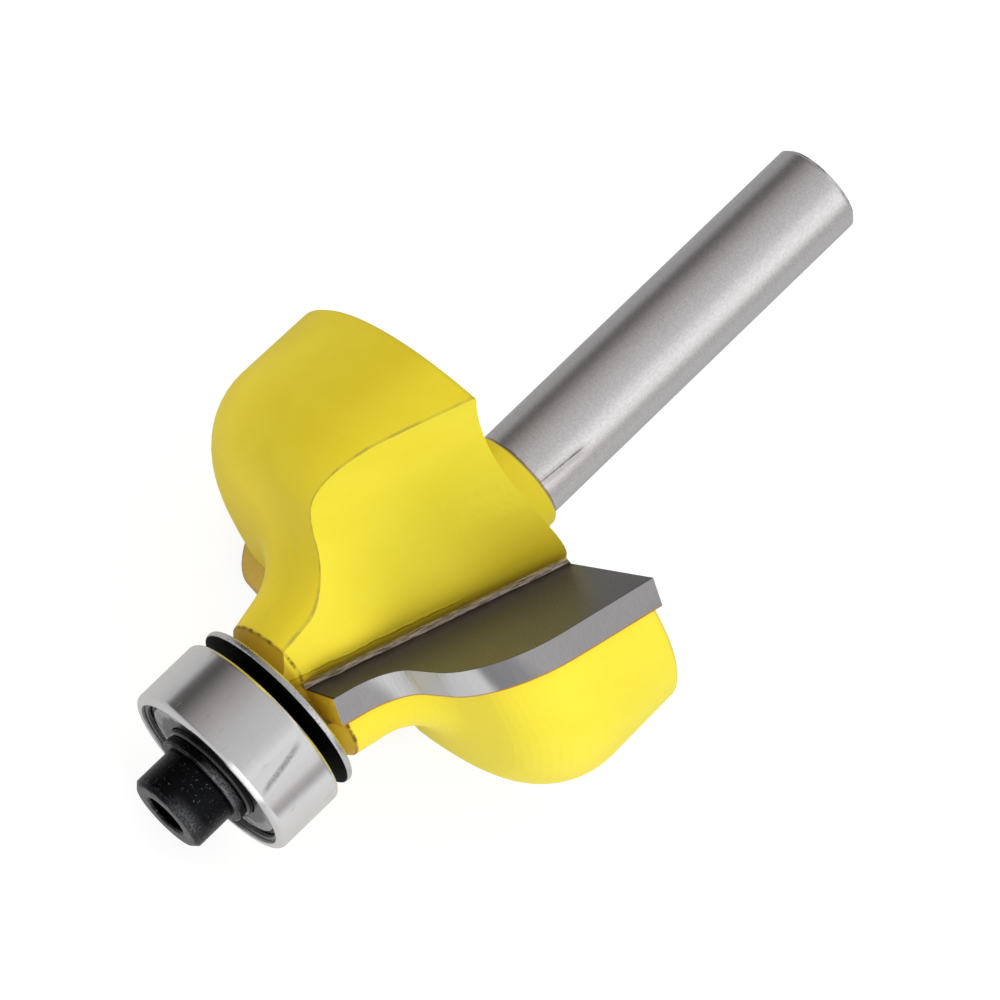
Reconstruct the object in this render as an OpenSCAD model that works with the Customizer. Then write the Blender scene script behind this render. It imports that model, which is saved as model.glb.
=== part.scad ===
// Profile router bit with two brazed carbide blades and a ball-bearing guide.
// Tool frame: Z runs along the axis from the nose to the shank, with Z = 0 on the nose face.
// X lies along the trace of blade A's rake face. The tool is then laid down as it rests on a
// table: on the guide bearing and on the two lips of the gullet that is turned away.

/* [Shank] */
// Diameter of the ground shank
shank_d = 6.35; // [6:0.05:6.6]
// Length of the bare shank behind the collar
shank_len = 27.2; // [20:0.1:40]
// Chamfer at the shank's end
shank_chamfer = 0.3; // [0.1:0.05:0.6]
// Thickness of the painted collar over the shank
collar_wall = 0.38; // [0.2:0.02:0.8]
// Length of the painted collar behind the head
collar_len = 2.5; // [1.5:0.1:4]

/* [Head] */
// Length of the winged head along the axis
head_len = 18.12; // [17:0.1:20]
// Radius of the neck behind the nose
neck_r = 5.34; // [5.2:0.02:5.5]
// Slope of the neck from the axis
neck_slope = 11.5; // [9:0.5:14]
// Chamfer round the nose face
nose_chamfer = 1.2; // [0.9:0.05:1.4]
// Radius of the wings at their widest
wing_r = 16.33; // [15.5:0.05:17]
// Distance from the nose face to the start of the wing's hollow curve
wing_cove_z = 3.45; // [3:0.05:3.8]
// Radius of the wing's hollow curve
wing_cove_r = 4.25; // [4:0.05:4.5]
// Radius of the wing's round shoulder
wing_bead_r = 5.3; // [5:0.05:5.8]
// Fall in radius from the widest place to the rear face
back_taper = 0.1; // [0:0.02:0.3]
// Chamfer on the rim of the rear face
rear_chamfer = 0.2; // [0.1:0.05:0.5]

/* [Blades] */
// Radius of the cutting circle at the wide end
cut_r = 16.56; // [16.4:0.05:17.2]
// Distance from the nose face to the start of the blade's hollow curve
cut_cove_z = 2.49; // [2.2:0.05:2.9]
// Radius of the blade's hollow curve
cut_cove_r = 3; // [2.6:0.05:3.4]
// Radius of the blade's round shoulder
cut_bead_r = 6.2; // [5.6:0.05:6.8]
// Steepest slope of the profile, from the axis
ogee_slope = 79.6; // [76:0.1:82]
// Thickness of a blade
blade_t = 1.95; // [1.6:0.05:2.4]
// Slope of the rake face from the axis, called the shear angle
shear = 14.5; // [10:0.5:18]
// Place on the axis where the rake face passes through it
rake_cross_z = 3.56; // [3:0.05:4.2]
// Distance from the nose face to the blade's front end
blade_front_z = 1.17; // [0.8:0.05:1.6]
// Length by which the blade stands out behind the head
blade_overhang = 0.8; // [0.3:0.05:1.2]
// Slant of the blade's rear end, which falls towards the axis
rear_slant = 5; // [0:0.5:8]
// Relief of the clearance face towards the axis
side_relief = 8.7; // [5:0.1:12]
// Relief of the clearance face along the axis
front_relief = 10; // [6:0.5:13]

/* [Gullets] */
// Distance from the axis to the slot's corner, where the rake face crosses the axis
slot_corner_x = 3; // [2.8:0.05:3.4]
// Slope of the slot's corner away from the axis
slot_slope = 13.1; // [11:0.1:15]
// Height of the bare slot wall above the rake face
slot_lip = 0.45; // [0.3:0.05:0.8]
// Width of the gullet's floor, measured forward from the rake face
gullet_w = 14.25; // [13.5:0.05:15]
// Rise of the gullet's floor from the slot to its far edge
gullet_rise = 6.55; // [6:0.05:7]

/* [Bearing] */
// Outer diameter of the guide bearing
bearing_d = 12.7; // [12.5:0.05:12.9]
// Bore of the guide bearing
bearing_bore = 4.7625; // [4.6:0.05:4.9]
// Width of the guide bearing
bearing_w = 4.978; // [4.9:0.02:5.1]
// Diameter of a ball
ball_d = 2.381; // [2.36:0.005:2.4]
// Gap between a ball and each race
ball_play = 0.02; // [0.015:0.001:0.025]
// Radius of a race groove as a share of the ball's diameter
groove_share = 0.52; // [0.515:0.001:0.53]
// Wall of the inner race at its shoulders
inner_wall = 1.07; // [1:0.01:1.1]
// Wall of the outer race at its shoulders
outer_wall = 1.05; // [1:0.01:1.1]
// Radius on the outer race's corners
race_round = 0.4; // [0.3:0.02:0.45]
// Radius on the inner race's corners
bore_round = 0.2; // [0.1:0.02:0.25]
// Wall of the outer race beside the shields
lip_wall = 0.6; // [0.55:0.01:0.65]
// Depth of the groove that holds a snap ring
snap_groove = 0.2; // [0.15:0.01:0.22]
// Sheet thickness of the shields, snap rings and cage
sheet_t = 0.2; // [0.16:0.01:0.22]
// Width of a cage half across the ring
cage_w = 1.06; // [0.9:0.02:1.2]
// Gap between a ball and its cage pocket
pocket_gap = 0.06; // [0.04:0.01:0.08]
// Opening between the ends of a snap ring, in degrees
snap_gap = 28; // [15:1:45]

/* [Dust shield] */
// Outer diameter of the dished dust shield
dust_d = 12.3; // [12:0.05:12.5]
// Sheet thickness of the dust shield
dust_t = 0.5; // [0.4:0.02:0.6]
// Height of its dished middle, which rests on the inner race
dust_dish = 0.82; // [0.7:0.02:1]

/* [Screw] */
// Thread diameter of the cap screw
screw_d = 3; // [2.8:0.05:3.1]
// Length of the cap screw under its head
screw_len = 10; // [9:0.5:11]
// Diameter of the screw's head
head_d = 5.5; // [5.3:0.05:5.7]
// Height of the screw's head
head_h = 3; // [2.8:0.05:3.2]
// Width across the flats of the hexagon socket
socket_af = 2.5; // [2.3:0.05:2.6]
// Depth of the hexagon socket
socket_depth = 1.5; // [1.2:0.05:1.7]
// Diameter of the washer
washer_d = 6.6; // [6.4:0.05:6.8]
// Thickness of the washer
washer_t = 0.7; // [0.6:0.02:0.9]

/* [Fits] */
// Radial gap of a seat that the screw clamps
seat_gap = 0.012; // [0.01:0.001:0.03]
// Radial gap round parts that only pass through
pass_gap = 0.1; // [0.05:0.01:0.15]
// Step from the bearing's surface down to the cutting edge beside it
flush_gap = 0.02; // [0:0.005:0.05]
// Radial gap between a shield and the inner race
shield_gap = 0.07; // [0.05:0.005:0.09]

/* [Hidden] */
$fn = 96;
// Each ball is a node of its own
ball_count = 7;
arc_steps = 12;
floor_steps = 20;
// Rounds of halving or of settling, until the result no longer moves
rounds = 14;
// Longer than any cut has to reach
far = 60;

// Stations along the axis, from the nose face
bearing_rear = -dust_t - dust_dish;
bearing_front = bearing_rear - bearing_w;
bearing_mid = (bearing_rear + bearing_front) / 2;
washer_front = bearing_front - washer_t;
screw_end = washer_front + screw_len;
shank_end = head_len + collar_len + shank_len;

// Radii that follow from the fits
shank_r = shank_d / 2;
spigot_r = bearing_bore / 2 - seat_gap;
tap_r = screw_d / 2 + seat_gap;
cut_neck_r = bearing_d / 2 - flush_gap;

// The bearing about its own middle
half_w = bearing_w / 2;
pitch_r = (bearing_d + bearing_bore) / 4;
groove_r = groove_share * ball_d;
inner_shoulder_r = bearing_bore / 2 + inner_wall;
outer_shoulder_r = bearing_d / 2 - outer_wall;
inner_groove_x = pitch_r - ball_d / 2 - ball_play + groove_r;
outer_groove_x = pitch_r + ball_d / 2 + ball_play - groove_r;
lip_r = bearing_d / 2 - lip_wall;
snap_r = lip_r + snap_groove;
snap_play = 0.05;
snap_top = half_w - sheet_t - snap_play;
snap_low = snap_top - sheet_t - snap_play;
seat_z = snap_low - sheet_t - snap_play;

// Point on an arc about a centre, for outlines
function polar(centre, radius, angle) = centre + radius * [cos(angle), sin(angle)];

// Ogee outline as [radius, z]: a hollow arc, a straight slope and a round shoulder.
// It starts at [neck, cove_z] with a slope of lead from the axis.
function ogee(neck, lead, cove_z, cove_r, bead_r, rim) =
    let (
        cove = [neck, cove_z] + cove_r * [cos(lead), -sin(lead)],
        hollow = [for (i = [0 : arc_steps])
            polar(cove, cove_r, 180 - lead - (ogee_slope - lead) * i / arc_steps)],
        slope_start = hollow[arc_steps],
        slope_end_r = rim - bead_r * (1 - cos(ogee_slope)),
        slope_rise = (slope_end_r - slope_start[0]) / tan(ogee_slope),
        bead_z = slope_start[1] + slope_rise + bead_r * sin(ogee_slope),
        shoulder = [for (i = [0 : arc_steps])
            polar([rim - bead_r, bead_z], bead_r, -ogee_slope * (1 - i / arc_steps))]
    )
    concat(hollow, shoulder);

neck_end_r = neck_r + (wing_cove_z - nose_chamfer) * tan(neck_slope);
wing_outline = ogee(neck_end_r, neck_slope, wing_cove_z, wing_cove_r, wing_bead_r, wing_r);
edge_outline = ogee(cut_neck_r, 0, cut_cove_z, cut_cove_r, cut_bead_r, cut_r);

// Places in the rake face: s runs up the face, and the slot's corner leans out with it
function face_s(z) = (z - rake_cross_z) / cos(shear);
function slot_x(s) = slot_corner_x + s * tan(slot_slope);
front_s = face_s(blade_front_z);
rear_s = face_s(head_len + blade_overhang);

// A point of the cutting edge, given as [radius, z], seen along the clearance direction
function edge_seen(point) =
    let (
        s = face_s(point[1]),
        x = sqrt(point[0] * point[0] - pow(s * sin(shear), 2))
    )
    [x * cos(side_relief), s * cos(front_relief) + x * sin(side_relief) * sin(front_relief)];

// Floor of the gullet across its width: a cubic curve from the slot wall to the far edge
floor_ends = [[0, -slot_lip], [gullet_rise, -gullet_w]];
floor_pulls = [[0.7 * gullet_rise, -0.2 * gullet_w], [-0.65 * gullet_rise, -0.45 * gullet_w]];
function floor_point(t) =
    pow(1 - t, 3) * floor_ends[0] + 3 * t * pow(1 - t, 2) * floor_pulls[0]
    + 3 * t * t * (1 - t) * floor_pulls[1] + pow(t, 3) * floor_ends[1];

// Point of the gullet's floor at a height on the axis
function floor_at(t, z) =
    let (
        flat = floor_point(t),
        s = (z - rake_cross_z + flat[1] * sin(shear)) / cos(shear)
    )
    [slot_x(s) + flat[0] / cos(slot_slope), flat[1] * cos(shear) + s * sin(shear), z];

// Point where the gullet's floor leaves the wing at its heel, found by halving
function heel_point(point, low = 0.5, high = 1, left = rounds) =
    let (
        middle = (low + high) / 2,
        place = floor_at(middle, point[1])
    )
    left <= 0 ? place
    : norm([place[0], place[1]]) > point[0] ? heel_point(point, low, middle, left - 1)
    : heel_point(point, middle, high, left - 1);

// Point of the cutting edge in the tool frame
function edge_point(point) =
    let (y = (point[1] - rake_cross_z) * tan(shear))
    [sqrt(point[0] * point[0] - y * y), y, point[1]];

// Contact of the lying tool with the floor: the furthest points of a lip and of the bearing
function furthest(points, down) =
    let (reach = [for (point = points) point * down])
    points[search(max(reach), reach)[0]];
function race_contact(down) =
    [0, 0, bearing_front + race_round] + race_round * down
    + (bearing_d / 2 - race_round) * [down[0], down[1], 0] / norm([down[0], down[1]]);
function settle(down, left = rounds) =
    let (
        race = race_contact(down),
        to_edge = furthest(edge_lip, down) - race,
        to_heel = furthest(heel_lip, down) - race,
        normal = cross(to_edge, to_heel)
    )
    left <= 0 ? down : settle(normal / norm(normal), left - 1);

// Downward direction in the tool frame, for a tool that lies on the first gullet's lips
edge_lip = [for (point = edge_outline) edge_point(point)];
heel_lip = [for (point = wing_outline) heel_point(point)];
down = settle([cos(45) * cos(shear), -cos(45) * sin(shear), -sin(45)]);
lean = asin(-down[2]);
lip_angle = atan2(down[1], down[0]);
axis_height = race_contact(down) * down;
lying_rear = shank_end * cos(lean) + (shank_r - shank_chamfer) * sin(lean);
lying_front = (washer_front - head_h) * cos(lean) - 0.9 * head_d / 2 * sin(lean);

// Outline of a ring half, given above its middle plane, mirrored to the whole
function both_halves(upper) =
    concat(upper, [for (i = [len(upper) - 1 : -1 : 0]) [upper[i][0], -upper[i][1]]]);

function corner_arc(centre, radius, start, end) =
    [for (i = [0 : arc_steps]) polar(centre, radius, start + (end - start) * i / arc_steps)];

// Frame of a rake face: Y points into the blade, Z up the face
module rake_frame() {
    translate([0, 0, rake_cross_z])
        rotate([-shear, 0, 0])
            children();
}

// Plate in the X-Z plane, from Y = 0 to Y = depth
module plate_behind(depth) {
    rotate([90, 0, 0])
        translate([0, 0, -depth])
            linear_extrude(depth)
                children();
}

module at_bearing() {
    translate([0, 0, bearing_mid])
        children();
}

// Gullet and blade seat, cut as one channel along the slot
module flute_cut() {
    run_out = far * (floor_ends[1] - floor_pulls[1]) / gullet_w;
    rake_frame()
        translate([slot_corner_x, 0, 0])
            rotate([0, slot_slope, 0])
                translate([0, 0, -far / 2])
                    linear_extrude(far)
                        polygon(concat(
                            [[0, blade_t]],
                            [for (i = [0 : floor_steps]) floor_point(i / floor_steps)],
                            [floor_ends[1] + run_out, [far, 0], [far, blade_t]]
                        ));
}

// Body of the cutter, turned and milled from one bar with its shank
module cutter_body() {
    rear_r = wing_r - back_taper;
    collar_r = shank_r + collar_wall;
    color("gold")
        difference() {
            union() {
                difference() {
                    rotate_extrude()
                        polygon(concat(
                            [[0, 0], [neck_r - nose_chamfer, 0], [neck_r, nose_chamfer]],
                            wing_outline,
                            [[rear_r, head_len - rear_chamfer], [rear_r - rear_chamfer, head_len],
                             [0, head_len]]
                        ));
                    for (turn = [0, 180])
                        rotate([0, 0, turn])
                            flute_cut();
                }
                rotate_extrude()
                    polygon(concat(
                        [[0, head_len - collar_len], [collar_r, head_len - collar_len]],
                        corner_arc([shank_r, shank_end - shank_len - collar_wall], collar_wall, 0, 90),
                        [[shank_r, shank_end - shank_chamfer], [shank_r - shank_chamfer, shank_end],
                         [0, shank_end]]
                    ));
                translate([0, 0, bearing_front + bore_round])
                    cylinder(h = -bearing_front - bore_round, r = spigot_r);
            }
            translate([0, 0, bearing_front])
                cylinder(h = screw_end + screw_d / 2 - bearing_front, r = tap_r);
        }
}

// Brazed carbide blade: a slab on the rake plane, ground to the ogee with relief behind its edge
module carbide_blade() {
    edge_from = edge_outline[0] - [0, far];
    edge_to = [cut_r, head_len + far];
    color("lightslategray")
        rake_frame()
            intersection() {
                plate_behind(blade_t)
                    polygon([
                        [slot_x(front_s), front_s], [far, front_s],
                        [far, rear_s + (far - cut_r) * tan(rear_slant)],
                        [slot_x(rear_s), rear_s - (cut_r - slot_x(rear_s)) * tan(rear_slant)]
                    ]);
                rotate([front_relief, 0, side_relief])
                    translate([0, -far / 2, 0])
                        plate_behind(far)
                            polygon(concat(
                                [[0, -far / 4], [cut_neck_r * cos(side_relief), -far / 4]],
                                [for (point = edge_outline) edge_seen(point)],
                                [edge_seen([cut_r, head_len + blade_overhang + blade_t]), [0, far]]
                            ));
            }
}

// Dished dust shield: its rim stands clear of the bearing, its middle rests on the inner race
module dust_shield() {
    height = dust_t + dust_dish;
    bore_r = spigot_r + pass_gap;
    middle_r = inner_shoulder_r - bore_round;
    slope = dust_dish;
    rim_round = dust_t / 2.5;
    color("silver")
        rotate_extrude()
            polygon(concat(
                [[bore_r, -height], [middle_r, -height], [middle_r + slope, -dust_t]],
                corner_arc([dust_d / 2 - rim_round, rim_round - dust_t], rim_round, -90, 0),
                corner_arc([dust_d / 2 - rim_round, -rim_round], rim_round, 0, 90),
                [[middle_r + slope - dust_t / 3, 0], [middle_r - dust_t / 3, dust_t - height],
                 [bore_r, dust_t - height]]
            ));
}

module bearing_inner_race() {
    color("gainsboro")
        at_bearing()
            rotate_extrude()
                difference() {
                    polygon(both_halves(concat(
                        corner_arc([inner_shoulder_r - bore_round, half_w - bore_round],
                            bore_round, 0, 90),
                        corner_arc([bearing_bore / 2 + bore_round, half_w - bore_round],
                            bore_round, 90, 180)
                    )));
                    translate([inner_groove_x, 0])
                        circle(r = groove_r);
                }
}

module bearing_outer_race() {
    outer_r = bearing_d / 2;
    color("gainsboro")
        at_bearing()
            rotate_extrude()
                difference() {
                    polygon(both_halves(concat(
                        corner_arc([outer_r - race_round, half_w - race_round], race_round, 0, 90),
                        [[lip_r, half_w], [lip_r, snap_top + snap_play / 2],
                         [snap_r, snap_top + snap_play / 2], [snap_r, snap_low + snap_play / 2],
                         [lip_r, snap_low + snap_play / 2], [lip_r, seat_z],
                         [outer_shoulder_r, seat_z]]
                    )));
                    translate([outer_groove_x, 0])
                        circle(r = groove_r);
                }
}

module bearing_ball(index) {
    color("white")
        at_bearing()
            rotate([0, 0, 360 / ball_count * index])
                translate([pitch_r, 0, 0])
                    sphere(d = ball_d);
}

// Half of the ball cage: a flat ring with round pockets pressed into it
module ball_cage() {
    pocket_r = ball_d / 2 + pocket_gap;
    color("peru")
        intersection() {
            rotate_extrude()
                translate([pitch_r - cage_w / 2, 0])
                    square([cage_w, ball_d]);
            difference() {
                union() {
                    cylinder(h = sheet_t, r = lip_r);
                    for (index = [1 : ball_count])
                        rotate([0, 0, 360 / ball_count * index])
                            translate([pitch_r, 0, 0])
                                sphere(r = pocket_r + sheet_t);
                }
                for (index = [1 : ball_count])
                    rotate([0, 0, 360 / ball_count * index])
                        translate([pitch_r, 0, 0])
                            sphere(r = pocket_r);
            }
        }
}

// Stamped shield that closes one side of the bearing
module bearing_shield() {
    inner_r = inner_shoulder_r + shield_gap;
    rim_r = lip_r - seat_gap;
    step_r = outer_shoulder_r - sheet_t;
    dish = 0.75 * sheet_t;
    color("silver")
        rotate_extrude()
            translate([0, seat_z])
                polygon([
                    [inner_r, dish], [step_r - dish, dish], [step_r, 0], [rim_r, 0],
                    [rim_r, sheet_t], [step_r + sheet_t / 2, sheet_t],
                    [step_r - dish + sheet_t / 2, sheet_t + dish], [inner_r, sheet_t + dish]
                ]);
}

// Snap ring in the outer race's groove, open between its ends
module snap_ring() {
    outer_r = snap_r - seat_gap;
    color("dimgray")
        translate([0, 0, snap_low + snap_play])
            difference() {
                cylinder(h = sheet_t, r = outer_r);
                translate([0, 0, -sheet_t])
                    cylinder(h = 3 * sheet_t, r = lip_r - 1.5 * snap_groove);
                translate([0, 0, -sheet_t])
                    linear_extrude(3 * sheet_t)
                        polygon([[0, 0], polar([0, 0], far, -snap_gap / 2),
                            polar([0, 0], far, snap_gap / 2)]);
            }
}

module washer() {
    edge = washer_t / 6;
    washer_r = washer_d / 2;
    hole_r = screw_d / 2 + pass_gap;
    color("#26262a")
        translate([0, 0, washer_front])
            rotate_extrude()
                polygon([
                    [hole_r, 0], [washer_r - edge, 0], [washer_r, edge],
                    [washer_r, washer_t - edge], [washer_r - edge, washer_t], [hole_r, washer_t]
                ]);
}

// Socket head cap screw that clamps the washer and the inner race
module cap_screw() {
    head_r = head_d / 2;
    head_edge = head_h / 10;
    socket_r = socket_af / 2 / cos(30);
    color("#1d1d20")
        translate([0, 0, washer_front])
            difference() {
                union() {
                    rotate_extrude()
                        polygon([
                            [0, -head_h], [head_r - head_edge, -head_h],
                            [head_r, head_edge - head_h], [head_r, 0], [0, 0]
                        ]);
                    cylinder(h = screw_len, d = screw_d);
                }
                translate([0, 0, -head_h - far])
                    cylinder(h = far + socket_depth, r = socket_r, $fn = 6);
                translate([0, 0, -head_h])
                    cylinder(h = head_edge / 2, r1 = socket_r + head_edge / 2, r2 = socket_r);
            }
}

// The tool as it rests: the shank rises towards +X, and the second gullet is underneath
module lay_down() {
    translate([-(lying_rear + lying_front) / 2, 0, axis_height])
        rotate([0, 90 - lean, 0])
            rotate([0, 0, 180 - lip_angle])
                children();
}

lay_down() cutter_body();
lay_down() carbide_blade();  // carbide_blade_a
lay_down() rotate([0, 0, 180]) carbide_blade();  // carbide_blade_b
lay_down() dust_shield();
lay_down() bearing_inner_race();
lay_down() bearing_outer_race();
lay_down() bearing_ball(1);  // bearing_ball_1
lay_down() bearing_ball(2);  // bearing_ball_2
lay_down() bearing_ball(3);  // bearing_ball_3
lay_down() bearing_ball(4);  // bearing_ball_4
lay_down() bearing_ball(5);  // bearing_ball_5
lay_down() bearing_ball(6);  // bearing_ball_6
lay_down() bearing_ball(7);  // bearing_ball_7
lay_down() at_bearing() mirror([0, 0, 1]) ball_cage();  // ball_cage_front
lay_down() at_bearing() ball_cage();  // ball_cage_rear
lay_down() at_bearing() mirror([0, 0, 1]) bearing_shield();  // bearing_shield_front
lay_down() at_bearing() bearing_shield();  // bearing_shield_rear
lay_down() at_bearing() mirror([0, 0, 1]) snap_ring();  // snap_ring_front
lay_down() at_bearing() snap_ring();  // snap_ring_rear
lay_down() washer();
lay_down() cap_screw();
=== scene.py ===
"""Finishes, light and camera for a bearing-guided router bit that lies on a table."""
import math
from collections import namedtuple

import bpy
from mathutils import Matrix, Vector

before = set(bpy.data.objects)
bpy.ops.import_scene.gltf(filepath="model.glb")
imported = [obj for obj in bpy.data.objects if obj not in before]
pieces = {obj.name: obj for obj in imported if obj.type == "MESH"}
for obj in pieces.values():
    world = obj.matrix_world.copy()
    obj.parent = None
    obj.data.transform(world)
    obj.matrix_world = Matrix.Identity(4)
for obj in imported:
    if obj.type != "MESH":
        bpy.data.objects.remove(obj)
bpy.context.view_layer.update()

# How the tool lies, in millimetres and degrees
LEAN = 25.8298
LIP_ANGLE = -25.4061
AXIS_HEIGHT = 8.32531
MIDDLE_SHIFT = -17.1088
# Rake faces, slots and gullets
RAKE_CROSS = 3.56
SHEAR = 14.5
SLOT_CORNER = 3.0
SLOT_SLOPE = 13.1
SLOT_LIP = 0.45
BLADE_THICK = 1.95
BLADE_FRONT = -2.469
GULLET_WIDE = 14.25
GULLET_RISE = 6.55
# Places along the axis and round it
SCREW_END = -9.998
RACE_FRONT = -6.3
RACE_REAR = -1.32
SHIELD_REAR = -0.42
CHAMFER_END = 1.2
HEAD_LONG = 18.12
COLLAR_END = 20.62
SHANK_END = 47.82
NOSE_RADIUS = 5.5
SOCKET_RADIUS = 1.42
# Smudge on the race and scratch on the shank: angles round the axis in radians, slants in radians a
# millimetre, and the place along the axis where the scratch crosses its own angle
RACE_SMUDGE = -0.08
SMUDGE_SLANT = 0.032
SCRATCH_TURN = 0.043
SCRATCH_SLANT = 0.026
SCRATCH_MIDDLE = 22.7
# Radians of the feed marks' wave along a millimetre of the shank
FEED_WAVE = 21.0
# Part of the cutting edge, along the radius, that lies in the hollow of the ogee
HOLLOW_START = 7.0
HOLLOW_END = 13.9
# Ochre of paint where it lies thick in the gullets, also laid as painted shade towards the slots
OCHRE = (0.97, 0.66, 0.03)
# Camera: where it stands, its view and its upward way by the tool, and its focal length in pixels of a
# picture that is 1000 pixels wide
CAMERA_PLACE = (403.1, -173.3, -95.9)
CAMERA_VIEW = (-0.8886, 0.3827, 0.2530)
CAMERA_UP = (-0.1234, -0.7306, 0.6716)
FOCAL_PIXELS = 7366
PICTURE_PIXELS = 1000
SENSOR_WIDE = 36.0


def turned(degrees, axis):
    return Matrix.Rotation(math.radians(degrees), 4, axis)


def moved(x, y, z):
    return Matrix.Translation((x, y, z))


TOOL = moved(MIDDLE_SHIFT, 0, AXIS_HEIGHT) @ turned(90 - LEAN, "Y") @ turned(180 - LIP_ANGLE, "Z")
RAKE_A = TOOL @ moved(0, 0, RAKE_CROSS) @ turned(-SHEAR, "X")
RAKE_B = TOOL @ turned(180, "Z") @ moved(0, 0, RAKE_CROSS) @ turned(-SHEAR, "X")
GULLET_A = RAKE_A @ moved(SLOT_CORNER, 0, 0) @ turned(SLOT_SLOPE, "Y")
GULLET_B = RAKE_B @ moved(SLOT_CORNER, 0, 0) @ turned(SLOT_SLOPE, "Y")


# Small steps that every finish is made of
def add(tree, kind, *inputs, **settings):
    """New node with its settings, and its inputs in order: a socket is linked, a value is set."""
    new = tree.nodes.new(kind)
    for key, value in settings.items():
        setattr(new, key, value)
    for socket, value in zip(new.inputs, inputs):
        if isinstance(value, bpy.types.NodeSocket):
            tree.links.new(value, socket)
        elif value is not None:
            socket.default_value = value
    return new


def calc(tree, step, *values):
    return add(tree, "ShaderNodeMath", *values, operation=step).outputs[0]


def times(tree, first, second):
    return calc(tree, "MULTIPLY", first, second)


def plus(tree, first, second):
    return calc(tree, "ADD", first, second)


def weighed(tree, *shares):
    """Sum of pairs, each a value and its share."""
    result = times(tree, *shares[0])
    for value, share in shares[1:]:
        result = plus(tree, result, times(tree, value, share))
    return result


def shaken(tree, value, noise, swing):
    """Value that the noise moves up and down, over swing in all."""
    return plus(tree, value, times(tree, calc(tree, "SUBTRACT", noise, 0.5), swing))


def fade(tree, value, start, end):
    """0 up to start, 1 from end on, smooth between; start may be above end."""
    ramp = add(tree, "ShaderNodeMapRange", value, start, end, 0.0, 1.0, interpolation_type="SMOOTHSTEP")
    return ramp.outputs[0]


def stripe(tree, value, low, high, soft):
    """1 between low and high, fading to 0 over soft on both sides."""
    return times(tree, fade(tree, value, low - soft, low), fade(tree, value, high + soft, high))


def both(tree, *masks):
    result = masks[0]
    for mask in masks[1:]:
        result = times(tree, result, mask)
    return result


def either(tree, first, second):
    return calc(tree, "MAXIMUM", first, second)


def without(tree, mask):
    return calc(tree, "SUBTRACT", 1.0, mask)


def tint(tree, share, first, second):
    """Mix of two colours or directions: the first where the share is 0, the second where it is 1."""
    mix = add(tree, "ShaderNodeMix", data_type="RGBA")
    for socket, value in ((mix.inputs[0], share), (mix.inputs[6], first), (mix.inputs[7], second)):
        if isinstance(value, bpy.types.NodeSocket):
            tree.links.new(value, socket)
        else:
            socket.default_value = (*value, 1.0)
    return mix.outputs[2]


def layer(tree, under, mask, strength, colour):
    """Colour laid over another where the mask is, at most as strong as strength."""
    return tint(tree, times(tree, mask, strength), under, colour)


def level(tree, share, first, second):
    """Number between first and second."""
    return add(tree, "ShaderNodeMapRange", share, 0.0, 1.0, first, second).outputs[0]


def seen_from(tree, place):
    """Millimetres in a place of the tool, from the piece's own coordinates."""
    back = place.inverted()
    where = add(tree, "ShaderNodeTexCoord").outputs["Object"]
    return add(tree, "ShaderNodeMapping", where, back.to_translation(), back.to_euler(),
               (1000.0, 1000.0, 1000.0)).outputs[0]


def parts_of(tree, vector):
    return add(tree, "ShaderNodeSeparateXYZ", vector).outputs[:3]


Spot = namedtuple("Spot", "place side along radius turn")


def seen_from_axis(tree):
    """Where a surface lies by the tool's axis: its place, its side, along the axis, radius and angle."""
    place = seen_from(tree, TOOL)
    x, y, z = parts_of(tree, place)
    radius = calc(tree, "SQRT", plus(tree, times(tree, x, x), times(tree, y, y)))
    return Spot(place, y, z, radius, calc(tree, "ARCTAN2", y, x))


def stretch(tree, vector, x, y, z):
    return add(tree, "ShaderNodeVectorMath", vector, (x, y, z), operation="MULTIPLY").outputs[0]


def grain(tree, vector, size, detail=3.0, rough=0.55):
    """Even noise from 0 to 1 whose patches are about size millimetres."""
    return add(tree, "ShaderNodeTexNoise", vector, None, 1.0 / size, detail, rough).outputs["Fac"]


def turning_marks(tree, vector, along, size, across=0.3):
    """Fine rings round the axis, as turning and grinding leave them."""
    return grain(tree, stretch(tree, vector, across, across, along), size, 4.0, 0.6)


def small_scuffs(tree, vector):
    return fade(tree, grain(tree, stretch(tree, vector, 1.0, 1.0, 0.25), 0.35), 0.62, 0.75)


def relief(tree, height, depth, under):
    """Bump on the normals under it, whose height of 1 stands depth millimetres proud."""
    bump = add(tree, "ShaderNodeBump")
    bump.inputs["Strength"].default_value = 1.0
    bump.inputs["Distance"].default_value = depth / 1000
    tree.links.new(height, bump.inputs["Height"])
    tree.links.new(under, bump.inputs["Normal"])
    return bump.outputs[0]


def soft_edges(tree, radius):
    """Normals that round the piece's edges by radius millimetres."""
    return add(tree, "ShaderNodeBevel", radius / 1000, samples=6).outputs[0]


def worn_edges(tree, radius):
    """Mask of the outer edges, radius millimetres wide."""
    flat = add(tree, "ShaderNodeNewGeometry").outputs["Normal"]
    facing = add(tree, "ShaderNodeVectorMath", soft_edges(tree, radius), flat, operation="DOT_PRODUCT")
    return fade(tree, facing.outputs["Value"], 0.985, 0.86)


def new_finish(name, **uniform):
    finish = bpy.data.materials.new(name)
    finish.use_nodes = True
    tree = finish.node_tree
    tree.nodes.clear()
    shader = tree.nodes.new("ShaderNodeBsdfPrincipled")
    out = tree.nodes.new("ShaderNodeOutputMaterial")
    tree.links.new(shader.outputs[0], out.inputs[0])
    for key, value in uniform.items():
        shader.inputs[key.replace("_", " ")].default_value = value
    return finish, tree, shader


def join(tree, shader, **values):
    """Links values to the shader's sockets of those names."""
    for key, value in values.items():
        tree.links.new(value, shader.inputs[key.replace("_", " ")])


def wear(node_names, finish):
    for name in node_names:
        for slot in pieces[name].material_slots:
            slot.material = finish


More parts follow.
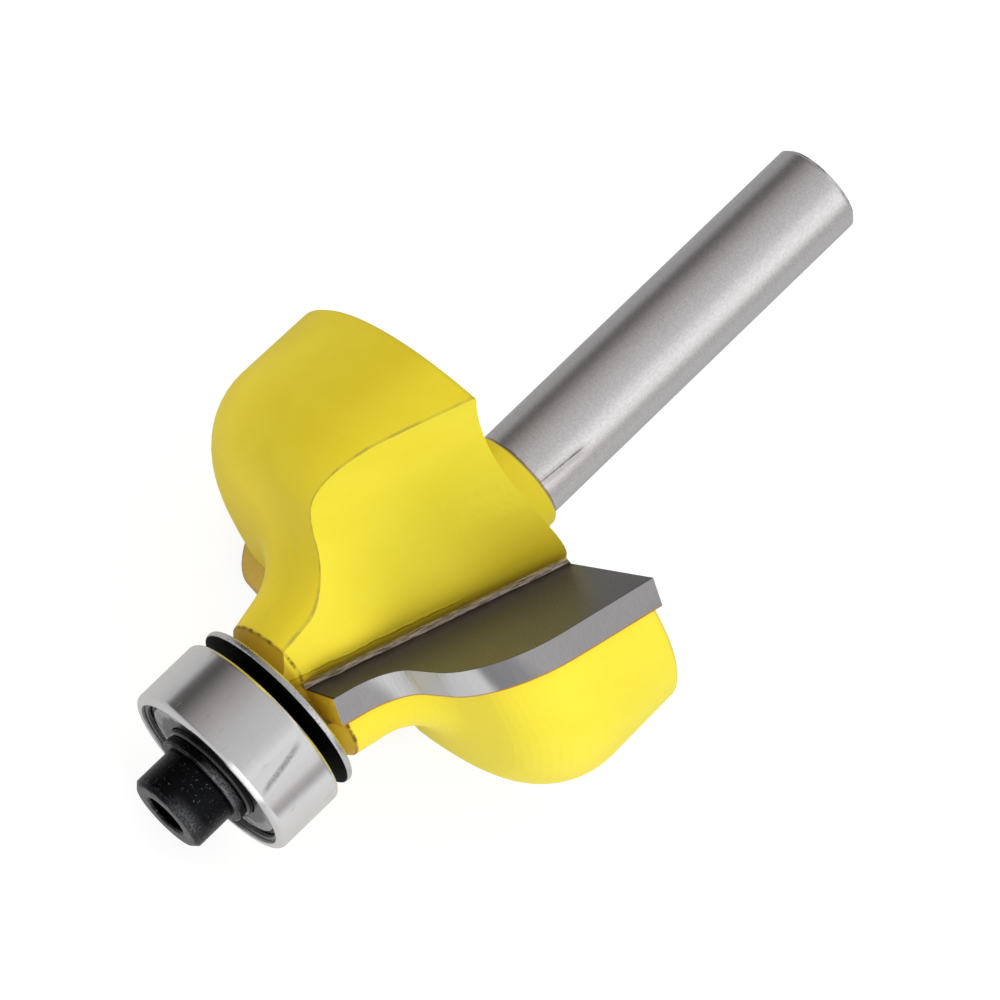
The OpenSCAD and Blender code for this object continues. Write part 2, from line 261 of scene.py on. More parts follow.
# Gullets
def floor_curve(tree, across):
    """Height of the gullet's floor over the slot corner, by the distance across it from the rake face."""
    reach, steps, past_end = 20.0, 20, 4.0
    start, end = (0, SLOT_LIP), (GULLET_RISE, GULLET_WIDE)
    pull, push = (0.7 * GULLET_RISE, 0.2 * GULLET_WIDE), (-0.65 * GULLET_RISE, 0.45 * GULLET_WIDE)
    points = []
    for step in range(steps + 1):
        t = step / steps
        shares = ((1 - t) ** 3, 3 * t * (1 - t) ** 2, 3 * t * t * (1 - t), t ** 3)
        points.append([sum(s * p[i] for s, p in zip(shares, (start, pull, push, end))) for i in (0, 1)])
    slope = (end[0] - push[0]) / (end[1] - push[1])
    points.append([end[0] + past_end * slope, end[1] + past_end])
    curve = add(tree, "ShaderNodeFloatCurve", 1.0, calc(tree, "DIVIDE", across, reach))
    line = curve.mapping.curves[0]
    curve.mapping.clip_max_y = 2.0
    line.points[0].location = (points[0][1] / reach, points[0][0] / reach)
    line.points[1].location = (1.0, points[-1][0] / reach)
    for height, wide in points[1:]:
        line.points.new(wide / reach, height / reach)
    curve.mapping.update()
    return times(tree, curve.outputs[0], reach)


def floor_normal(tree, place, across):
    """Smooth direction that the gullet's floor faces, and a mask of the surfaces that face that way."""
    reach = 0.2
    rise = calc(tree, "SUBTRACT", floor_curve(tree, plus(tree, across, reach)),
                floor_curve(tree, calc(tree, "SUBTRACT", across, reach)))
    way = add(tree, "ShaderNodeCombineXYZ", 1.0, calc(tree, "DIVIDE", rise, 2 * reach), 0.0).outputs[0]
    way = add(tree, "ShaderNodeMapping", way, None, place.to_3x3().to_euler(), (1.0, 1.0, 1.0),
              vector_type="NORMAL").outputs[0]
    flat = add(tree, "ShaderNodeNewGeometry").outputs["True Normal"]
    same = add(tree, "ShaderNodeVectorMath", way, flat, operation="DOT_PRODUCT").outputs["Value"]
    return way, fade(tree, same, 0.94, 0.97)


def gullet_masks(tree, place):
    """Masks of one gullet's floor and of the places by it, and the direction that its floor faces."""
    spot = seen_from(tree, place)
    x, y, z = parts_of(tree, spot)
    across = times(tree, y, -1.0)
    above = calc(tree, "SUBTRACT", x, floor_curve(tree, across))
    way, facing = floor_normal(tree, place, across)
    wobble = grain(tree, stretch(tree, spot, 1.0, 1.0, 0.6), 0.9, 4.0)
    edge = shaken(tree, across, wobble, 0.5)
    thin_edge = shaken(tree, across, wobble, 0.2)

    # The floor, its ochre lip and paint ridge by the slot, painted shade towards the slot and in its rear
    # corner, and its wrinkles
    floor = both(tree, fade(tree, across, SLOT_LIP - 0.02, SLOT_LIP), facing,
                 fade(tree, above, -0.16, -0.10))
    near_slot_shade = both(tree, floor, fade(tree, across, 4.5, 0.5))
    lip = both(tree, floor, fade(tree, edge, SLOT_LIP + 0.95, SLOT_LIP + 0.75))
    ridge = both(tree, floor, stripe(tree, edge, SLOT_LIP + 0.82, SLOT_LIP + 0.9, 0.09),
                 fade(tree, z, 9.0, 6.0))
    rear = both(tree, floor, fade(tree, across, 6.5, 2.5), fade(tree, across, 0.9, 2.2),
                fade(tree, z, 7.0, 13.0))
    wrinkled = both(tree, floor, stripe(tree, across, 5.0, 7.0, 0.8), stripe(tree, z, 9.6, 13.8, 0.8))

    # The wing's heel just under the floor's edge, in a line that narrows towards the nose
    widening = fade(tree, z, 1.0, 6.0)
    line = fade(tree, above, level(tree, widening, -0.20, -0.36), level(tree, widening, -0.10, -0.26))
    heel = both(tree, fade(tree, across, 1.0, 2.5), fade(tree, above, 0.08, -0.02),
                without(tree, floor), line)

    # The slot's bare wall, dark in its corner and, in front, along the paint
    bare = both(tree, fade(tree, across, SLOT_LIP, SLOT_LIP - 0.05), fade(tree, across, -2.0, -1.9),
                fade(tree, x, -0.1, -0.05), fade(tree, z, BLADE_FRONT - 0.1, BLADE_FRONT))
    corner = fade(tree, thin_edge, 0.09, 0.0)
    paint_edge = both(tree, fade(tree, thin_edge, SLOT_LIP - 0.09, SLOT_LIP - 0.04),
                      fade(tree, z, 5.0, 2.0))
    dark_line = both(tree, bare, either(tree, corner, paint_edge))
    masks = {"floor": floor, "near_slot_shade": near_slot_shade, "lip": lip, "ridge": ridge, "rear": rear,
             "wrinkled": wrinkled, "heel": heel, "bare": bare, "dark_line": dark_line}
    return masks, way


# Body of the cutter
def yellow_paint(tree, spot, masks, wobble):
    """Lemon paint, ochre where it is thick, brown in its seams; painted shade deepens the far wing, the
    gullets by the slots and at their rear corners, and the nose.
    """
    off_floor = without(tree, masks["floor"])
    patch = fade(tree, grain(tree, spot.place, 5.0), 0.3, 0.7)
    dashes = fade(tree, grain(tree, stretch(tree, spot.place, 1, 1, 0.5), 0.7), 0.40, 0.62)
    lemon = tint(tree, patch, (0.905, 0.765, 0.048), (0.935, 0.80, 0.058))
    shaded_golden = tint(tree, patch, (0.89, 0.70, 0.030), (0.93, 0.745, 0.038))
    # Painted shade: the far wing, off the gullet floors, takes the deeper golden tone
    paint = tint(tree, both(tree, fade(tree, spot.side, 0.5, -5.0), off_floor), lemon, shaded_golden)

    # Painted light: the coat is paler by the far wing's crest, a painted highlight, and deeper beside it,
    # painted shade
    pale = both(tree, fade(tree, spot.turn, -1.50, -1.76), fade(tree, spot.along, 17.0, 11.0))
    painted_shade_band = stripe(tree, spot.turn, -1.30, -1.10, 0.25)
    shade = both(tree, calc(tree, "SUBTRACT", times(tree, pale, 0.12), times(tree, painted_shade_band, 0.09)), off_floor)
    paint = add(tree, "ShaderNodeVectorMath", paint, None, None, plus(tree, shade, 1.0),
                operation="SCALE").outputs[0]

    # Gullets
    # Painted shade: ochre deepening towards the slot's corner
    paint = layer(tree, paint, masks["near_slot_shade"], 0.45, OCHRE)
    paint = layer(tree, paint, masks["lip"], 0.7, OCHRE)
    # Painted shade: darker ochre in the gullets' rear corners by the slots
    paint = layer(tree, paint, masks["rear"], 0.7, (0.68, 0.51, 0.02))
    paint = layer(tree, paint, masks["heel"], level(tree, dashes, 0.25, 0.6), (0.42, 0.34, 0.09))

    # Nose: its chamfer browned as painted shade, the gullet floor's front browner beside it, and the dark
    # line behind
    narrow = fade(tree, spot.radius, NOSE_RADIUS + 0.1, NOSE_RADIUS)
    nose = both(tree, fade(tree, spot.along, CHAMFER_END + 0.08, CHAMFER_END - 0.02), narrow, off_floor)
    # Painted shade: the chamfer turns from the lamps behind the bearing, so it is browned
    paint = layer(tree, paint, nose, level(tree, wobble, 0.75, 1.0), (0.50, 0.29, 0.02))
    nose_floor_brown = both(tree, masks["floor"], fade(tree, spot.along, CHAMFER_END - 0.1, CHAMFER_END - 0.5), narrow)
    paint = layer(tree, paint, nose_floor_brown, 0.75, (0.66, 0.40, 0.02))
    nose_line = both(tree, stripe(tree, spot.along, CHAMFER_END - 0.06, CHAMFER_END + 0.06, 0.08), narrow)
    paint = layer(tree, paint, nose_line, level(tree, dashes, 0.15, 0.9), (0.16, 0.09, 0.015))

    # Collar's root and end, the seams behind the blades, and specks
    root_line = both(tree, stripe(tree, spot.along, HEAD_LONG - 0.02, HEAD_LONG + 0.08, 0.06),
                     fade(tree, spot.radius, 4.2, 3.8))
    end_line = stripe(tree, spot.along, COLLAR_END - 0.12, COLLAR_END, 0.08)
    paint = layer(tree, paint, either(tree, root_line, end_line), 0.6, (0.40, 0.22, 0.02))
    seams = []
    for rake in (RAKE_A, RAKE_B):
        beside, behind = parts_of(tree, seen_from(tree, rake))[:2]
        seams.append(both(tree, stripe(tree, behind, BLADE_THICK - 0.05, BLADE_THICK + 0.07, 0.06),
                          fade(tree, beside, 4.5, 5.0)))
    seam = both(tree, either(tree, *seams), off_floor)
    paint = layer(tree, paint, seam, level(tree, dashes, 0.4, 0.95), (0.55, 0.24, 0.02))
    specks = fade(tree, grain(tree, spot.place, 0.16, 2.0), 0.73, 0.79)
    return layer(tree, paint, specks, 0.4, (0.50, 0.26, 0.03))


def ground_shank(tree, spot, border, rings, blast, feed_marks):
    """Bright steel with rings, a blasted grain, pits, a brown border, a slanted scratch and feed marks."""
    steel = tint(tree, weighed(tree, (rings, 0.4), (fade(tree, blast, 0.3, 0.7), 0.6)),
                 (0.71, 0.69, 0.685), (0.92, 0.905, 0.91))
    pits = fade(tree, grain(tree, spot.place, 0.13, 2.0), 0.74, 0.79)
    steel = layer(tree, steel, pits, 0.5, (0.25, 0.22, 0.21))
    stain = stripe(tree, border, COLLAR_END, COLLAR_END + 0.1, 0.06)
    steel = layer(tree, steel, stain, 0.7, (0.30, 0.17, 0.05))
    slant = times(tree, calc(tree, "SUBTRACT", spot.along, SCRATCH_MIDDLE), SCRATCH_SLANT)
    slanted = calc(tree, "SUBTRACT", spot.turn, slant)
    groove = stripe(tree, slanted, SCRATCH_TURN - 0.007, SCRATCH_TURN + 0.007, 0.030)
    burr = times(tree, stripe(tree, slanted, 0.02, 0.12, 0.10), 0.4)
    scratch = both(tree, either(tree, groove, burr), stripe(tree, spot.along, 21.2, 23.6, 1.4),
                   level(tree, grain(tree, spot.place, 0.5), 0.5, 1.3))
    steel = layer(tree, steel, scratch, 0.85, (0.13, 0.11, 0.105))
    end_rim = both(tree, stripe(tree, spot.along, SHANK_END - 0.10, SHANK_END, 0.08),
                   fade(tree, spot.radius, 2.6, 2.85), fade(tree, grain(tree, spot.place, 0.7), 0.42, 0.56))
    steel = layer(tree, steel, end_rim, 0.9, (0.03, 0.03, 0.03))
    return layer(tree, steel, feed_marks, 0.35, (1.0, 0.99, 0.99))


def painted_body():
    """Yellow paint over the head, nose and collar; ground steel on the shank and in the slots."""
    finish, tree, shader = new_finish("painted_body", Specular_IOR_Level=0.10)
    spot = seen_from_axis(tree)
    (first, way_a), (second, way_b) = gullet_masks(tree, GULLET_A), gullet_masks(tree, GULLET_B)
    masks = {key: either(tree, first[key], second[key]) for key in first}
    wobble = grain(tree, spot.place, 1.4)
    fine = grain(tree, spot.place, 0.25, 4.0)
    rings = turning_marks(tree, spot.place, 8.0, 1.0, 0.35)
    blast = grain(tree, spot.place, 0.14, 2.0)
    border = shaken(tree, spot.along, wobble, 0.35)
    feed_marks = both(tree, calc(tree, "SINE", times(tree, plus(tree, spot.along, spot.turn), FEED_WAVE)),
                      fade(tree, grain(tree, spot.place, 3.0, 2.0), 0.40, 0.60),
                      stripe(tree, spot.turn, -2.2, -1.65, 0.12))
    streaks = tint(tree, second["bare"], *[
        grain(tree, stretch(tree, seen_from(tree, gullet), 9.0, 9.0, 0.7), 0.8, 4.0, 0.65)
        for gullet in (GULLET_A, GULLET_B)])
    slot = tint(tree, fade(tree, streaks, 0.36, 0.64), (0.22, 0.16, 0.11), (0.92, 0.76, 0.60))
    slot = layer(tree, slot, masks["dark_line"], 0.9, (0.008, 0.007, 0.006))
    shank_bare = fade(tree, border, COLLAR_END - 0.08, COLLAR_END)
    slot_bare = masks["bare"]
    painted = without(tree, either(tree, shank_bare, slot_bare))
    head = tint(tree, slot_bare, yellow_paint(tree, spot, masks, wobble), slot)
    head_rough = level(tree, slot_bare, level(tree, fine, 0.38, 0.52), 0.55)

    # Relief: edges softened by the paint, its runs and ridges, and the marks of grinding
    wrinkles = grain(tree, stretch(tree, spot.place, 1.0, 1.0, 2.2), 0.9, 2.0)
    skin = weighed(tree, (wobble, 0.5), (fine, 0.14), (masks["ridge"], 1.2),
                   (times(tree, wrinkles, masks["wrinkled"]), 1.6))
    normal = tint(tree, first["floor"], tint(tree, second["floor"], soft_edges(tree, 0.16), way_b), way_a)
    for height, where, depth in ((skin, painted, 0.05), (feed_marks, shank_bare, 0.004),
                                 (rings, shank_bare, 0.010), (blast, shank_bare, 0.005),
                                 (streaks, slot_bare, 0.06)):
        normal = relief(tree, both(tree, height, where), depth, normal)
    shank = ground_shank(tree, spot, border, rings, blast, feed_marks)
    join(tree, shader, Normal=normal,
         Base_Color=tint(tree, shank_bare, head, shank),
         Metallic=either(tree, shank_bare, times(tree, slot_bare, 0.25)),
         Roughness=level(tree, shank_bare, head_rough, level(tree, rings, 0.26, 0.38)))
    return finish


# Blades
def rake_grey(tree, z, from_wall, lap, grit, edge):
    """Olive-grey rake face: painted shade darkening it towards the slot's wall, black at its corner, a
    painted shadow black at its front, nicked edge.
    """
    grey = tint(tree, weighed(tree, (lap, 0.5), (fade(tree, grit, 0.3, 0.7), 0.5)),
                (0.060, 0.060, 0.068), (0.190, 0.189, 0.205))
    # Painted shade towards the slot's wall
    grey = layer(tree, grey, fade(tree, from_wall, 1.4, 0.2), 0.7, (0.030, 0.024, 0.017))
    grey = layer(tree, grey, fade(tree, from_wall, 0.24, 0.06), 0.9, (0.006, 0.005, 0.004))
    # Painted shadow: black along the front end, by the paint
    grey = tint(tree, fade(tree, z, BLADE_FRONT + 0.2, BLADE_FRONT + 0.08), grey, (0.008, 0.007, 0.006))
    return layer(tree, grey, edge, 0.8, (0.03, 0.027, 0.025))


def clearance_silver(tree, x, seat, cross, hollow, matt, edge):
    """Silver band with cross marks, brighter over the hollow of the ogee as a painted reflection, with
    braze at its rear edge.
    """
    silver = tint(tree, cross, (0.30, 0.291, 0.297), (0.435, 0.426, 0.433))
    # Painted reflection: lighter silver over the hollow of the ogee
    silver = tint(tree, hollow, silver, tint(tree, cross, (0.63, 0.625, 0.64), (0.77, 0.765, 0.78)))
    silver = layer(tree, silver, matt, 0.8, (0.47, 0.47, 0.485))
    silver = layer(tree, silver, stripe(tree, x, 14.7, 15.5, 0.5), 0.6, (0.22, 0.215, 0.225))
    silver = layer(tree, silver, edge, 0.5, (0.62, 0.61, 0.62))
    braze = stripe(tree, seat, BLADE_THICK - 0.08, BLADE_THICK + 1, 0.03)
    return layer(tree, silver, braze, 0.8, (0.60, 0.27, 0.03))


def ground_carbide(name, place, slot):
    """Olive-grey rake face, a silver clearance band, and paint and braze on the covered faces."""
    finish, tree, shader = new_finish(name)
    spot = seen_from(tree, place)
    x, y, z = parts_of(tree, spot)
    lap = grain(tree, stretch(tree, spot, 0.6, 1.0, 5.0), 0.9, 4.0, 0.6)
    grit = grain(tree, spot, 0.12)
    cross = grain(tree, stretch(tree, spot, 12.0, 0.5, 12.0), 1.0, 3.0, 0.6)
    wobble = times(tree, calc(tree, "SUBTRACT", grain(tree, spot, 0.5), 0.5), 0.4)
    from_wall = plus(tree, parts_of(tree, seen_from(tree, slot))[0], wobble)
    edge = worn_edges(tree, 0.07)
    rake = fade(tree, y, 0.03, 0.01)
    hollow = stripe(tree, x, HOLLOW_START, HOLLOW_END, 0.7)
    matt = stripe(tree, x, 8.9, 10.6, 0.9)
    seat = plus(tree, y, times(tree, wobble, 0.2))
    bare_colour = tint(tree, rake, clearance_silver(tree, x, seat, cross, hollow, matt, edge),
                       rake_grey(tree, z, from_wall, lap, grit, edge))

    # Covered faces: paint on the back, in a darker ochre that is painted shade, and ochre and yellow on the
    # front end
    back = both(tree, fade(tree, y, BLADE_THICK - 0.03, BLADE_THICK - 0.01),
                without(tree, worn_edges(tree, 0.5)))
    front_end = fade(tree, z, BLADE_FRONT + 0.03, BLADE_FRONT + 0.01)
    back_coat_shaded = tint(tree, fade(tree, grit, 0.3, 0.7), (0.72, 0.46, 0.03), (0.80, 0.56, 0.04))
    front_coat = tint(tree, fade(tree, wobble, -0.06, 0.06), (0.95, 0.55, 0.03), (0.95, 0.70, 0.04))
    coated = either(tree, back, both(tree, front_end, without(tree, worn_edges(tree, 0.12))))
    dull = either(tree, times(tree, hollow, 0.3), matt)
    bare_rough = level(tree, rake, level(tree, cross, 0.28, 0.38), level(tree, lap, 0.34, 0.44))
    normal = soft_edges(tree, 0.04)
    for height, where, depth in ((lap, rake, 0.004), (grit, rake, 0.003),
                                 (cross, without(tree, rake), 0.003)):
        normal = relief(tree, both(tree, height, where), depth, normal)
    join(tree, shader, Normal=normal,
         Base_Color=tint(tree, coated, bare_colour, tint(tree, front_end, back_coat_shaded, front_coat)),
         Metallic=both(tree, without(tree, coated), level(tree, rake, level(tree, dull, 1.0, 0.2), 0.55)),
         Roughness=level(tree, coated, bare_rough, 0.42))
    return finish


# Bearing, dust shield, washer and screw
def turned_steel(name, dark, light, roughness, spread, depth, edge):
    """Steel finished by turning or grinding round the axis: fine rings, small scuffs, soft edges."""
    finish, tree, shader = new_finish(name, Metallic=1.0)
    place = seen_from(tree, TOOL)
    rings = turning_marks(tree, place, 8.0, 0.8)
    scuffs = small_scuffs(tree, place)
    colour = layer(tree, tint(tree, rings, dark, light), scuffs, 0.25, tuple(0.5 * c for c in dark))
    join(tree, shader, Base_Color=colour, Normal=relief(tree, rings, depth, soft_edges(tree, edge)),
         Roughness=plus(tree, level(tree, rings, roughness, roughness + spread), times(tree, scuffs, 0.12)))
    return finish


def recess_shaded_shield():
    """Pressed bearing shield, dull tin kept dark as painted shade of the recess, painted black as shade by
    the inner race.
    """
    finish, tree, shader = new_finish("shield_tin", Metallic=1.0)
    spot = seen_from_axis(tree)
    cloud = grain(tree, spot.place, 0.8, 4.0)
    pits = fade(tree, grain(tree, spot.place, 0.16), 0.60, 0.70)
    tin = tint(tree, fade(tree, cloud, 0.3, 0.7), (0.22, 0.22, 0.23), (0.52, 0.52, 0.53))
    tin = layer(tree, tin, pits, 0.6, (0.06, 0.06, 0.06))
    # Painted shade: black by the inner race, deep in the recess
    recess_shade = fade(tree, shaken(tree, spot.radius, cloud, 0.8), 4.5, 4.2)
    tin = layer(tree, tin, recess_shade, 0.95, (0.012, 0.012, 0.013))
    join(tree, shader, Base_Color=tin, Roughness=level(tree, cloud, 0.16, 0.36),
         Normal=relief(tree, cloud, 0.03, soft_edges(tree, 0.08)))
    return finish


def polished_race():
    """Guide bearing's races: polished steel with a smudge, painted shade across the bright band, a painted
    glint on the front lip, a painted reflection of the yellow body at the rear edge, and painted black
    shade inside.
    """
    finish, tree, shader = new_finish("polished_race")
    spot = seen_from_axis(tree)
    rings = turning_marks(tree, spot.place, 7.0, 0.8)
    cloud = grain(tree, spot.place, 1.6)
    scuffs = small_scuffs(tree, spot.place)
    steel = tint(tree, weighed(tree, (rings, 0.5), (cloud, 0.5)), (0.78, 0.77, 0.775), (0.93, 0.92, 0.925))
    steel = layer(tree, steel, scuffs, 0.2, (0.35, 0.34, 0.34))
    # Painted shade: darker across the band where the bright walls are mirrored
    steel = layer(tree, steel, stripe(tree, spot.turn, -0.05, 0.16, 0.12), 0.6, (0.52, 0.52, 0.53))

    # Smudge along the running surface, and a painted glint, white and less metallic, on the lip beside it
    bent = shaken(tree, plus(tree, spot.turn, times(tree, spot.along, SMUDGE_SLANT)), cloud, 0.04)
    speckled = level(tree, fade(tree, grain(tree, spot.place, 0.10, 2.0), 0.35, 0.65), 0.55, 1.0)
    smudge = both(tree, stripe(tree, bent, RACE_SMUDGE - 0.008, RACE_SMUDGE + 0.008, 0.045), speckled,
                  stripe(tree, spot.along, -5.2, -2.8, 1.0))
    steel = layer(tree, steel, smudge, 0.75, (0.16, 0.16, 0.165))
    lip = both(tree, stripe(tree, spot.turn, -0.26, 0.10, 0.14), fade(tree, spot.radius, 5.6, 5.8),
               stripe(tree, spot.along, RACE_FRONT - 0.05, RACE_FRONT + 0.25, 0.05))
    steel = tint(tree, lip, steel, (1.0, 1.0, 1.0))

    # Painted reflection of the yellow body at the rear edge, painted black shade round the bore, and the
    # rear face painted dark as shade in the gap
    yellow_reflection = both(tree, stripe(tree, spot.along, RACE_REAR - 0.34, RACE_REAR - 0.2, 0.06),
                 fade(tree, spot.radius, 6.1, 6.2))
    steel = layer(tree, steel, yellow_reflection, 0.22, (0.80, 0.70, 0.45))
    recess_shade = both(tree, fade(tree, spot.radius, 4.3, 4.0), fade(tree, spot.along, -5.6, -5.8))
    steel = layer(tree, steel, recess_shade, 0.93, (0.02, 0.02, 0.022))
    gap = both(tree, fade(tree, spot.along, RACE_REAR - 0.1, RACE_REAR - 0.03),
               fade(tree, spot.radius, 6.2, 6.0))
    steel = layer(tree, steel, gap, 0.95, (0.012, 0.012, 0.012))
    join(tree, shader, Base_Color=steel, Metallic=level(tree, lip, 1.0, 0.15),
         Roughness=plus(tree, level(tree, rings, 0.13, 0.22), times(tree, scuffs, 0.12)),
         Normal=relief(tree, rings, 0.004, soft_edges(tree, 0.12)))
    return finish


def plated_dust_shield():
    """Plated sheet with a pitted rim; painted black shade in the gap it keeps from the bearing."""
    finish, tree, shader = new_finish("plated_dust_shield", Metallic=1.0)
    spot = seen_from_axis(tree)
    rings = turning_marks(tree, spot.place, 6.0, 0.7, 0.4)
    pits = fade(tree, grain(tree, spot.place, 0.14), 0.58, 0.70)
    recess_shade = fade(tree, spot.along, SHIELD_REAR, SHIELD_REAR - 0.05)
    sheet = tint(tree, rings, (0.55, 0.55, 0.56), (0.80, 0.80, 0.81))
    sheet = layer(tree, sheet, pits, 0.6, (0.14, 0.14, 0.15))
    # Painted shade: black on the face towards the bearing, in the gap
    sheet = tint(tree, recess_shade, sheet, (0.003, 0.003, 0.003))
    join(tree, shader, Base_Color=sheet, Roughness=level(tree, recess_shade, level(tree, pits, 0.22, 0.45), 0.7),
         Normal=relief(tree, pits, 0.01, relief(tree, rings, 0.006, soft_edges(tree, 0.1))))
    return finish


def black_oxide(name, wear_and_sheen_share):
    """Blackened steel: grey wear on its edges, a paler end face, small bright specks, a painted sheen on
    one side of the head and the rims, and a socket painted black as shade.
    """
    finish, tree, shader = new_finish(name, Metallic=1.0)
    spot = seen_from_axis(tree)
    grit = grain(tree, spot.place, 0.2, 4.0)
    blotch = grain(tree, spot.place, 0.6, 4.0)
    worn = both(tree, worn_edges(tree, 0.2), fade(tree, blotch, 0.38, 0.62))
    specks = fade(tree, grain(tree, spot.place, 0.13, 2.0), 0.66, 0.72)
    end_face = both(tree, fade(tree, spot.along, SCREW_END + 0.08, SCREW_END + 0.02),
                    fade(tree, blotch, 0.2, 0.7))
    speckled = level(tree, fade(tree, grain(tree, spot.place, 0.11, 2.0), 0.35, 0.65), 0.25, 1.0)
    rims = either(tree, fade(tree, spot.along, SCREW_END + 1.2, SCREW_END + 0.2),
                  fade(tree, spot.radius, 3.05, 3.25))
    # Painted highlight: a grey sheen on one side of the head and the rims
    painted_sheen = both(tree, stripe(tree, spot.turn, -0.3, 0.3, 0.45), speckled, rims)
    bright = times(tree, worn, wear_and_sheen_share)
    for mask, share in ((specks, 0.5), (end_face, 0.3), (painted_sheen, 0.6 * wear_and_sheen_share)):
        bright = either(tree, bright, times(tree, mask, share))
    # Painted shade: the socket's inside black and rough, as the hole lies in shade
    socket = both(tree, fade(tree, spot.radius, SOCKET_RADIUS + 0.04, SOCKET_RADIUS),
                  fade(tree, spot.along, SCREW_END, SCREW_END + 0.15))
    colour = tint(tree, both(tree, bright, without(tree, socket)),
                  (0.012, 0.0125, 0.0145), (0.46, 0.47, 0.50))
    join(tree, shader, Base_Color=tint(tree, socket, colour, (0.001, 0.001, 0.001)),
         Roughness=level(tree, socket, level(tree, grit, 0.26, 0.46), 0.8),
         Normal=relief(tree, grit, 0.03, soft_edges(tree, 0.22)))
    return finish


def dress_pieces():
    """Each piece gets its finish; pieces of one kind share it."""
    wear(["cutter_body"], painted_body())
    wear(["carbide_blade_a"], ground_carbide("carbide_front", RAKE_A, GULLET_A))
    wear(["carbide_blade_b"], ground_carbide("carbide_far", RAKE_B, GULLET_B))
    wear(["dust_shield"], plated_dust_shield())
    wear(["bearing_outer_race", "bearing_inner_race"], polished_race())
    wear(["bearing_shield_front", "bearing_shield_rear"], recess_shaded_shield())
    wear(["snap_ring_front", "snap_ring_rear"],
         turned_steel("snap_ring_wire", (0.08, 0.08, 0.085), (0.30, 0.30, 0.31), 0.25, 0.15, 0.008, 0.05))
    wear(["ball_cage_front", "ball_cage_rear"],
         turned_steel("cage_tin", (0.48, 0.44, 0.38), (0.6, 0.56, 0.5), 0.25, 0.15, 0.01, 0.05))
    wear([f"bearing_ball_{count}" for count in range(1, 8)],
         turned_steel("polished_ball", (0.70, 0.70, 0.71), (0.76, 0.76, 0.77), 0.06, 0.04, 0.001, 0.02))
    wear(["cap_screw"], black_oxide("blackened_screw", 0.45))
    wear(["washer"], black_oxide("blackened_washer", 0.95))


def lay_table():
    """Plain white table that keeps the tool's shadow."""
    mesh = bpy.data.meshes.new("table")
    wide = 3.0
    corners = [(-wide, -wide, 0), (wide, -wide, 0), (wide, wide, 0), (-wide, wide, 0)]
    mesh.from_pydata(corners, [], [(0, 1, 2, 3)])
    table = bpy.data.objects.new("table", mesh)
    bpy.context.scene.collection.objects.link(table)
    finish = bpy.data.materials.new("table_white")
    finish.use_nodes = True
    tree = finish.node_tree
    tree.nodes.clear()
    path = add(tree, "ShaderNodeLightPath")
    seen = either(tree, either(tree, path.outputs["Is Camera Ray"], path.outputs["Is Glossy Ray"]),
                  path.outputs["Is Transmission Ray"])
    matt = add(tree, "ShaderNodeBsdfDiffuse", (0.8, 0.8, 0.8, 1.0)).outputs[0]
    pale = add(tree, "ShaderNodeBsdfDiffuse", (0.22, 0.22, 0.22, 1.0)).outputs[0]
    along, side = parts_of(tree, add(tree, "ShaderNodeTexCoord").outputs["Object"])[:2]
    mirrored = level(tree, fade(tree, side, -0.05, 0.05), 0.58, 0.32)
    mirrored = times(tree, mirrored, level(tree, fade(tree, along, 0.0, 0.02), 1.0, 0.55))
    glow = add(tree, "ShaderNodeEmission", (1.0, 1.0, 1.0, 1.0),
               level(tree, path.outputs["Is Camera Ray"], mirrored, 0.87)).outputs[0]
    shown = add(tree, "ShaderNodeAddShader", pale, glow).outputs[0]
    mixed = add(tree, "ShaderNodeMixShader", seen, matt, shown).outputs[0]
    add(tree, "ShaderNodeOutputMaterial", mixed)
    mesh.materials.append(finish)


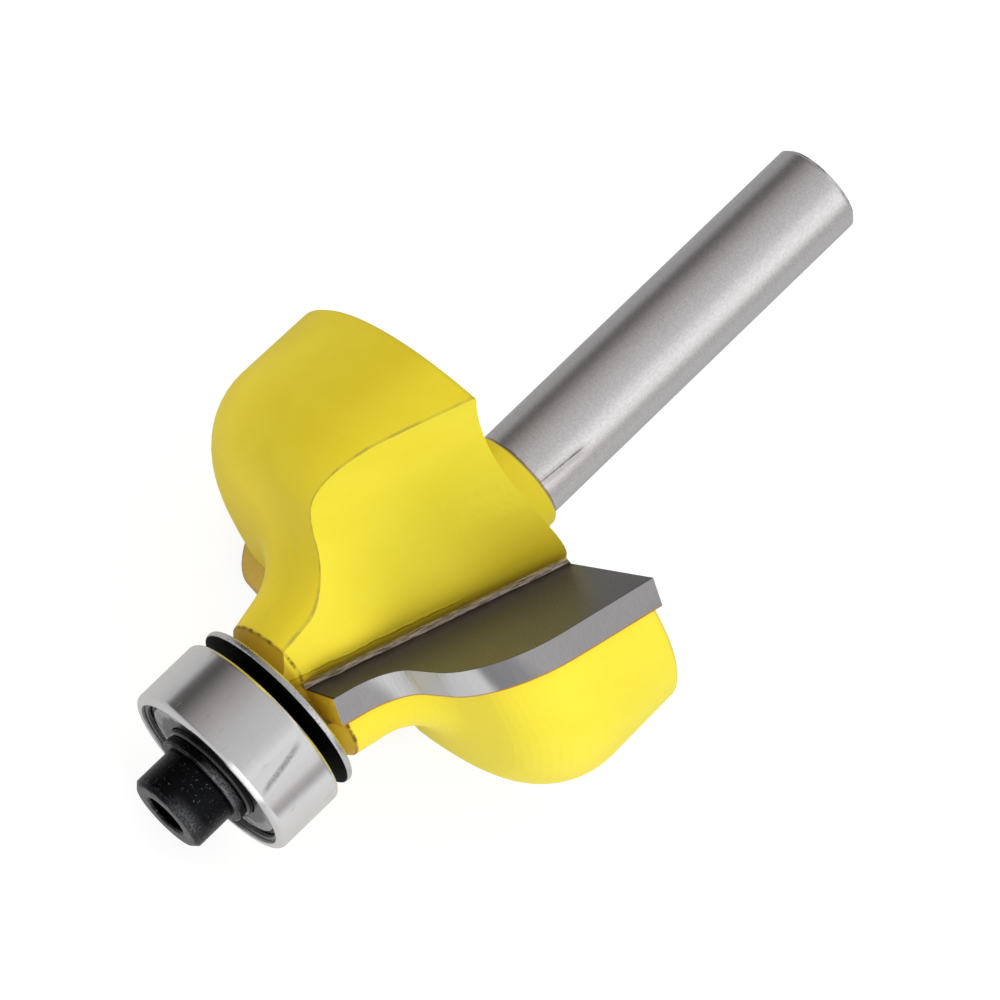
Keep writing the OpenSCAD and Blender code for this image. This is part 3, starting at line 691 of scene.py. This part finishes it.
def hang_lamps():
    """A big soft key, a weaker lamp over the table, and pale walls with one dark and one bright panel."""
    centre = Vector((0.0, 0.0, 0.012))
    for name, way, far, wide, power in (
        ("key_box", (-0.5, -0.82, 0.28), 0.6, 0.35, 1.6),
        ("top_box", (-0.25, 0.15, 0.95), 0.6, 0.5, 0.9),
    ):
        data = bpy.data.lights.new(name, "AREA")
        data.size = wide
        data.energy = power
        lamp = bpy.data.objects.new(name, data)
        bpy.context.scene.collection.objects.link(lamp)
        way = Vector(way).normalized()
        lamp.location = centre + way * far
        lamp.rotation_euler = way.to_track_quat("Z", "Y").to_euler()
        lamp.visible_glossy = False

    world = bpy.data.worlds.new("white_room")
    bpy.context.scene.world = world
    world.use_nodes = True
    tree = world.node_tree
    tree.nodes.clear()
    path = add(tree, "ShaderNodeLightPath")
    way = add(tree, "ShaderNodeTexCoord").outputs["Generated"]
    spin = TOOL.to_3x3().inverted().to_euler()
    x, y = parts_of(tree, add(tree, "ShaderNodeMapping", way, None, spin, (1.0, 1.0, 1.0)).outputs[0])[:2]
    round_tool = calc(tree, "DIVIDE", plus(tree, calc(tree, "ARCTAN2", y, x), math.pi), 2 * math.pi)
    walls = add(tree, "ShaderNodeValToRGB", round_tool)
    walls.color_ramp.interpolation = "B_SPLINE"
    # Brightness of the walls by the angle round the tool in degrees; the dim walls are a little warm
    stops = ((-180, 0.45), (-150, 0.36), (-130, 0.26), (-112, 0.04), (-97, 0.12), (-80, 0.30), (-60, 0.42),
             (-37, 0.52), (-10, 0.58), (5, 0.66), (16, 1.1), (30, 1.35), (44, 1.05), (58, 0.42), (75, 0.34),
             (110, 0.60), (140, 0.90), (165, 0.80), (180, 0.45))
    line = walls.color_ramp.elements
    while len(line) > 1:
        line.remove(line[-1])
    line[0].position = 0.0
    for count, (angle, value) in enumerate(stops):
        stop = line[0] if count == 0 else line.new((angle + 180) / 360)
        stop.color = (value, 0.94 * value, 0.93 * value, 1.0) if value < 0.5 else (value, value, value, 1.0)
    seen = either(tree, path.outputs["Is Camera Ray"], path.outputs["Is Transmission Ray"])
    light = tint(tree, path.outputs["Is Glossy Ray"], (0.60, 0.60, 0.60), walls.outputs[0])
    colour = tint(tree, seen, light, (1.0, 1.0, 1.0))
    ground = add(tree, "ShaderNodeBackground", colour, 1.0)
    add(tree, "ShaderNodeOutputWorld", ground.outputs[0])


def set_camera():
    """Camera that looks at the tool from the photograph's side."""
    data = bpy.data.cameras.new("camera")
    data.sensor_width = SENSOR_WIDE
    data.lens = FOCAL_PIXELS * SENSOR_WIDE / PICTURE_PIXELS
    data.clip_start = 0.01
    data.clip_end = 20.0
    camera = bpy.data.objects.new("camera", data)
    bpy.context.scene.collection.objects.link(camera)
    view = (TOOL.to_3x3() @ Vector(CAMERA_VIEW)).normalized()
    up = TOOL.to_3x3() @ Vector(CAMERA_UP)
    right = view.cross(up).normalized()
    turn = Matrix((right, right.cross(view), -view)).transposed()
    place = TOOL @ Vector(CAMERA_PLACE) / 1000
    camera.matrix_world = Matrix.Translation(place) @ turn.to_4x4()
    bpy.context.scene.camera = camera


set_camera()
dress_pieces()
lay_table()
hang_lamps()
bpy.context.scene.view_settings.view_transform = "Standard"
